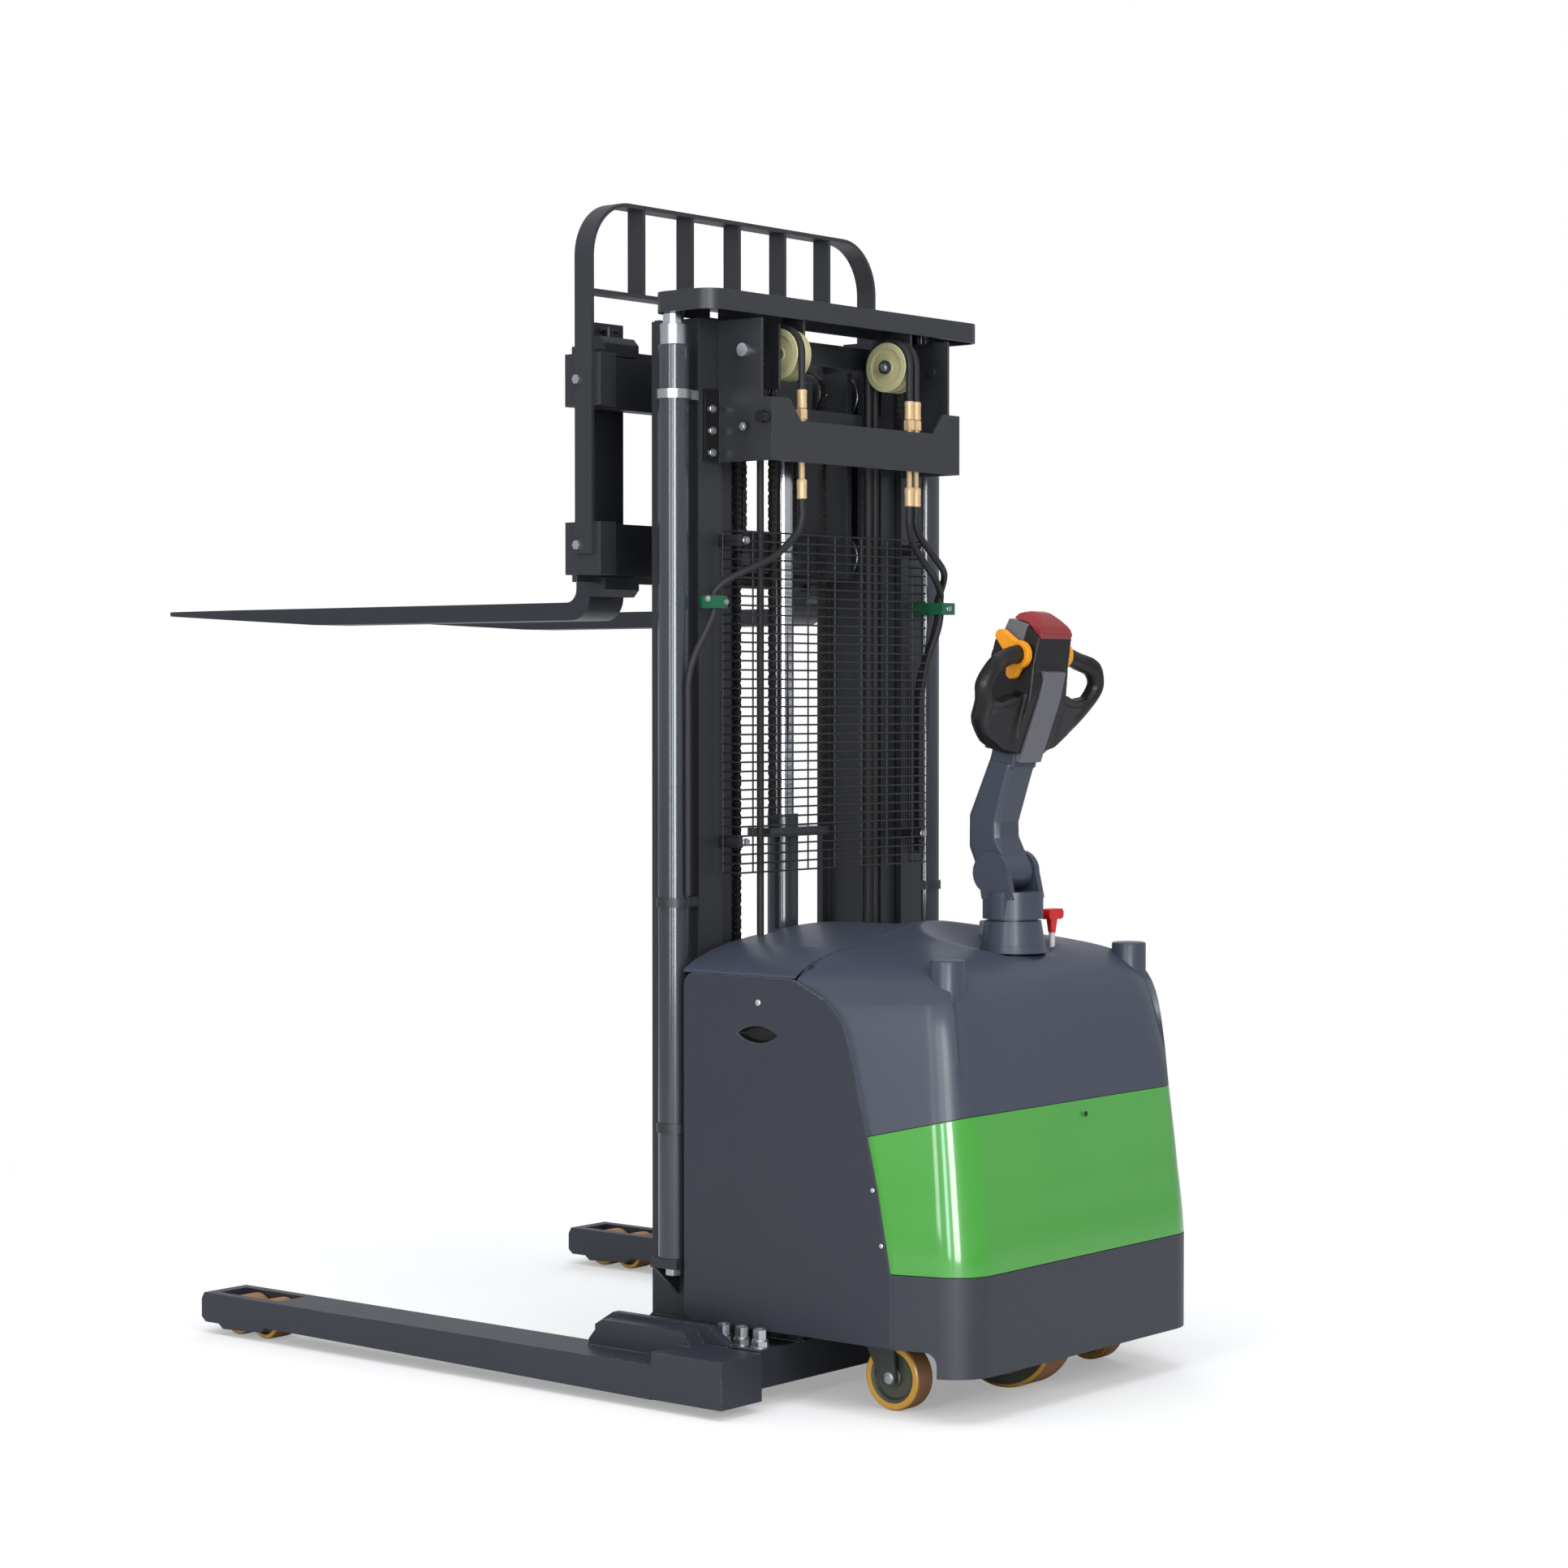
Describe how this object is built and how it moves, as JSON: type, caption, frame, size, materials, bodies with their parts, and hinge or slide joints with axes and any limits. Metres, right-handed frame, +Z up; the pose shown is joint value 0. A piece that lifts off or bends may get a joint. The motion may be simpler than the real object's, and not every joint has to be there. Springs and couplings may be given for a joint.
{
  "type": "straddle stacker",
  "caption": "Pedestrian straddle stacker with a telescoping roller mast, sliding forks, adjustable straddle legs, steered drive wheel, casters and a tilting tiller.",
  "frame": {"origin": "floor, at the middle of the truck's length and width", "axes": "+X towards the fork tips, +Y to the truck's left, +Z up"},
  "size_m": [2.217, 1.236, 2.281],
  "materials": {
    "body_grey": "satin paint",
    "mast_charcoal": "satin paint",
    "cover_grey": "satin painted plastic",
    "band_green": "gloss paint",
    "black_plastic": "fine grain",
    "grey_plastic": "fine grain",
    "red_plastic": "satin",
    "knob_red": "gloss",
    "orange_plastic": "satin",
    "wheel_polyurethane": "polyurethane tread",
    "zinc_steel": "zinc plated",
    "chrome_rod": "polished",
    "machined_steel": "machined",
    "chain_steel": "oiled",
    "brass_fitting": "satin",
    "hose_rubber": "matt",
    "pulley_nylon": "natural nylon",
    "clamp_green": "satin",
    "black_wire": "satin",
    "battery_case": "matt"
  },
  "bodies": {
    "chassis": {"chassis_frame": "body_grey", "mast_feet": "mast_charcoal", "side_panels": "body_grey", "front_cover": "cover_grey", "rear_hood": "cover_grey", "rear_band": "band_green", "rear_skirt": "body_grey", "battery_pack": "battery_case", "hydraulic_unit": "machined_steel", "outer_mast": "mast_charcoal", "crosstie_bracket": "mast_charcoal", "lift_cylinders": "mast_charcoal", "mesh_guard": "black_wire", "hose_fittings": "brass_fitting", "supply_hoses": "hose_rubber", "hose_clamps": "clamp_green", "panel_screws": "zinc_steel", "leg_clamp_bolts": "zinc_steel"},
    "emergency_knob": {"emergency_knob": "knob_red"},
    "ignition_key": {"ignition_key": "zinc_steel"},
    "leg_left": {"straddle_leg_left": "mast_charcoal"},
    "leg_right": {"straddle_leg_right": "mast_charcoal"},
    "load_wheel_left_front": {"load_wheel_left_front": "wheel_polyurethane"},
    "load_wheel_left_rear": {"load_wheel_left_rear": "wheel_polyurethane"},
    "load_wheel_right_front": {"load_wheel_right_front": "wheel_polyurethane"},
    "load_wheel_right_rear": {"load_wheel_right_rear": "wheel_polyurethane"},
    "steering": {"steering_turntable": "machined_steel", "drive_motor": "machined_steel", "tiller_base": "body_grey"},
    "drive_wheel": {"drive_wheel": "wheel_polyurethane"},
    "caster_left": {"caster_fork_left": "zinc_steel"},
    "caster_right": {"caster_fork_right": "zinc_steel"},
    "caster_wheel_left": {"caster_wheel_left": "wheel_polyurethane"},
    "caster_wheel_right": {"caster_wheel_right": "wheel_polyurethane"},
    "tiller": {"tiller_arm": "body_grey", "tiller_head": "black_plastic", "tiller_cover": "grey_plastic"},
    "throttle": {"throttle_paddles": "orange_plastic"},
    "belly_button": {"belly_button": "red_plastic"},
    "raise_button": {"raise_button": "grey_plastic"},
    "lower_button": {"lower_button": "grey_plastic"},
    "horn_button": {"horn_button": "black_plastic"},
    "mast_middle": {"middle_mast": "mast_charcoal", "top_plate": "mast_charcoal", "side_lift_rods": "chrome_rod", "mast_chains": "chain_steel", "mast_hoses": "hose_rubber"},
    "hose_pulleys": {"hose_pulleys": "pulley_nylon"},
    "chain_pulleys": {"chain_pulleys": "machined_steel"},
    "mast_inner": {"inner_mast": "mast_charcoal", "free_lift_cylinder": "mast_charcoal"},
    "crosshead": {"free_lift_rod": "chrome_rod", "lift_chains": "chain_steel"},
    "chain_wheels": {"chain_wheels": "machined_steel"},
    "carriage": {"fork_carriage": "mast_charcoal", "carriage_rollers": "machined_steel", "load_backrest": "mast_charcoal"},
    "fork_left": {"fork_left": "mast_charcoal"},
    "fork_right": {"fork_right": "mast_charcoal"}
  },
  "joints": [
    {"name": "mast_extend", "type": "slide", "parent": "chassis", "child": "mast_middle", "axis": [0, 0, 1], "range_m": [0, 1.35], "deforming": ["mast_chains", "mast_hoses"]},
    {"name": "inner_extend", "type": "slide", "parent": "mast_middle", "child": "mast_inner", "axis": [0, 0, 1], "range_m": [0, 1.35]},
    {"name": "free_lift", "type": "slide", "parent": "mast_inner", "child": "crosshead", "axis": [0, 0, 1], "range_m": [-0.71, 0], "deforming": ["lift_chains"]},
    {"name": "carriage_lift", "type": "slide", "parent": "crosshead", "child": "carriage", "axis": [0, 0, 1], "range_m": [-0.71, 0]},
    {"name": "fork_left_slide", "type": "slide", "parent": "carriage", "child": "fork_left", "axis": [0, 1, 0], "range_m": [-0.19, 0.06]},
    {"name": "fork_right_slide", "type": "slide", "parent": "carriage", "child": "fork_right", "axis": [0, -1, 0], "range_m": [-0.19, 0.06]},
    {"name": "hose_pulley_turn", "type": "hinge", "parent": "mast_middle", "child": "hose_pulleys", "pos_m": [-0.5125, 0, 1.982], "axis": [0, 1, 0], "range_deg": [-1500, 10]},
    {"name": "chain_pulley_turn", "type": "hinge", "parent": "mast_middle", "child": "chain_pulleys", "pos_m": [-0.4575, 0, 1.982], "axis": [0, 1, 0], "range_deg": [-2360, 10]},
    {"name": "chain_wheel_turn", "type": "hinge", "parent": "crosshead", "child": "chain_wheels", "pos_m": [-0.3645, 0, 1.932], "axis": [0, 1, 0], "range_deg": [-10, 1085]},
    {"name": "leg_left_slide", "type": "slide", "parent": "chassis", "child": "leg_left", "axis": [0, 1, 0], "range_m": [-0.025, 0.13]},
    {"name": "leg_right_slide", "type": "slide", "parent": "chassis", "child": "leg_right", "axis": [0, -1, 0], "range_m": [-0.025, 0.13]},
    {"name": "load_wheel_left_front_roll", "type": "hinge", "parent": "leg_left", "child": "load_wheel_left_front", "pos_m": [0.6085, 0.56, 0.04], "axis": [0, 1, 0], "continuous": true},
    {"name": "load_wheel_left_rear_roll", "type": "hinge", "parent": "leg_left", "child": "load_wheel_left_rear", "pos_m": [0.5275, 0.56, 0.04], "axis": [0, 1, 0], "continuous": true},
    {"name": "load_wheel_right_front_roll", "type": "hinge", "parent": "leg_right", "child": "load_wheel_right_front", "pos_m": [0.6085, -0.56, 0.04], "axis": [0, 1, 0], "continuous": true},
    {"name": "load_wheel_right_rear_roll", "type": "hinge", "parent": "leg_right", "child": "load_wheel_right_rear", "pos_m": [0.5275, -0.56, 0.04], "axis": [0, 1, 0], "continuous": true},
    {"name": "steering", "type": "hinge", "parent": "chassis", "child": "steering", "pos_m": [-0.9325, 0, 0.3], "axis": [0, 0, 1], "range_deg": [-90, 90]},
    {"name": "drive_wheel_roll", "type": "hinge", "parent": "steering", "child": "drive_wheel", "pos_m": [-0.9325, 0, 0.125], "axis": [0, 1, 0], "continuous": true},
    {"name": "caster_left_swivel", "type": "hinge", "parent": "chassis", "child": "caster_left", "pos_m": [-0.8745, 0.318, 0.178], "axis": [0, 0, 1], "continuous": true},
    {"name": "caster_left_roll", "type": "hinge", "parent": "caster_left", "child": "caster_wheel_left", "pos_m": [-0.9025, 0.318, 0.0625], "axis": [0, 1, 0], "continuous": true},
    {"name": "caster_right_swivel", "type": "hinge", "parent": "chassis", "child": "caster_right", "pos_m": [-0.8745, -0.318, 0.178], "axis": [0, 0, 1], "continuous": true},
    {"name": "caster_right_roll", "type": "hinge", "parent": "caster_right", "child": "caster_wheel_right", "pos_m": [-0.9025, -0.318, 0.0625], "axis": [0, 1, 0], "continuous": true},
    {"name": "tiller_tilt", "type": "hinge", "parent": "steering", "child": "tiller", "pos_m": [-0.9165, 0, 0.984], "axis": [0, -1, 0], "range_deg": [0, 75], "stiffness_Nm_per_rad": 20, "springref_deg": -34.38},
    {"name": "throttle_turn", "type": "hinge", "parent": "tiller", "child": "throttle", "pos_m": [-1.00759, 0, 1.40303], "axis": [0, 1, 0], "range_deg": [-30, 30], "stiffness_Nm_per_rad": 0.5},
    {"name": "belly_press", "type": "slide", "parent": "tiller", "child": "belly_button", "axis": [0.2588, 0, -0.9659], "range_m": [0, 0.0025], "stiffness_N_per_m": 1500, "springref_m": -0.001},
    {"name": "raise_press", "type": "slide", "parent": "tiller", "child": "raise_button", "axis": [-0.9659, 0, -0.2588], "range_m": [0, 0.003], "stiffness_N_per_m": 600, "springref_m": -0.001},
    {"name": "lower_press", "type": "slide", "parent": "tiller", "child": "lower_button", "axis": [-0.9659, 0, -0.2588], "range_m": [0, 0.003], "stiffness_N_per_m": 600, "springref_m": -0.001},
    {"name": "horn_press", "type": "slide", "parent": "tiller", "child": "horn_button", "axis": [-0.9659, 0, -0.2588], "range_m": [0, 0.003], "stiffness_N_per_m": 600, "springref_m": -0.001},
    {"name": "emergency_pull", "type": "slide", "parent": "chassis", "child": "emergency_knob", "axis": [0, 0, 1], "range_m": [0, 0.012]},
    {"name": "key_turn", "type": "hinge", "parent": "chassis", "child": "ignition_key", "pos_m": [-0.8185, -0.066, 0.85], "axis": [0, 0, 1], "range_deg": [0, 90]}
  ],
  "couplings": [
    {"joint": "inner_extend", "follows": "mast_extend", "ratio": 1},
    {"joint": "carriage_lift", "follows": "free_lift", "ratio": 1},
    {"joint": "hose_pulley_turn", "follows": "mast_extend", "rad_per_m": -19.231},
    {"joint": "chain_pulley_turn", "follows": "mast_extend", "rad_per_m": -30.303},
    {"joint": "chain_wheel_turn", "follows": "free_lift", "rad_per_m": -26.316}
  ]
}
